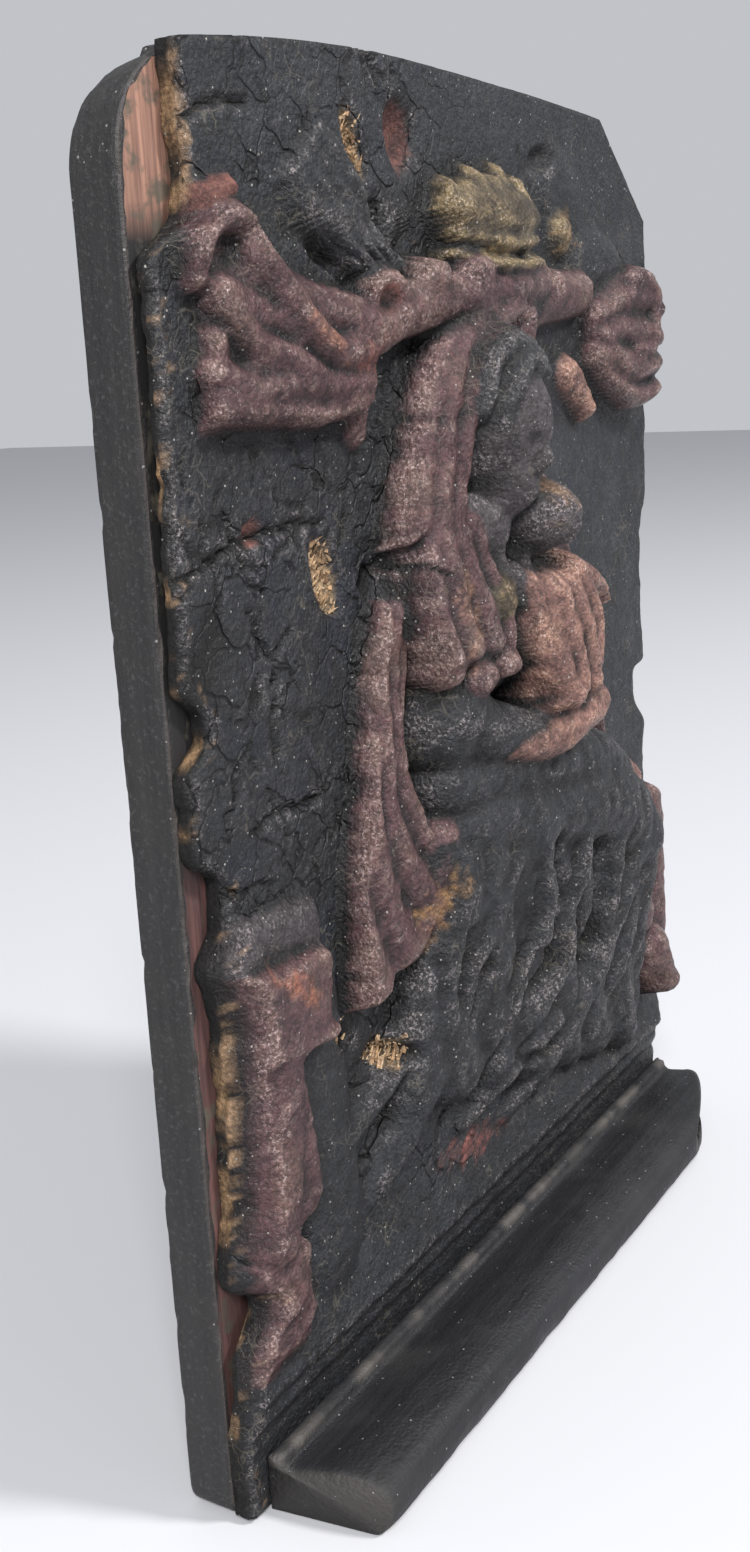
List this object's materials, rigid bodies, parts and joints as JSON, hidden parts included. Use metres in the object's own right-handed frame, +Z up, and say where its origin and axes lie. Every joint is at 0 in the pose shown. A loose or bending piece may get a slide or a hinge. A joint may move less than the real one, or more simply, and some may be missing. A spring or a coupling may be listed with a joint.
{
  "type": "carved wood relief",
  "caption": "Upright devotional relief panel: a crowned seated mother and child between flying angels, worn dark paint on a clipped arched board with a moulded rail at the foot.",
  "frame": {"origin": "on the ground under the middle of the panel's bounding box", "axes": "+Z up, -Y out of the carved face, +X to the right for someone looking at the carved face"},
  "size_m": [0.33, 0.0652, 0.4327],
  "materials": {
    "board_wood": "blackened, dry, tool-marked, bare reddish wood where the sheet is lost",
    "relief_paint": "blackened ground with purple-brown worn gloss paint, gilding remains and buff losses",
    "rail_wood": "blackened satin with dust specks and a worn light edge",
    "nail_iron": "rusted black"
  },
  "bodies": {
    "root": {"backing_board": "board_wood", "relief_sheet": "relief_paint", "base_rail": "rail_wood", "edge_nail": "nail_iron"}
  },
  "joints": []
}
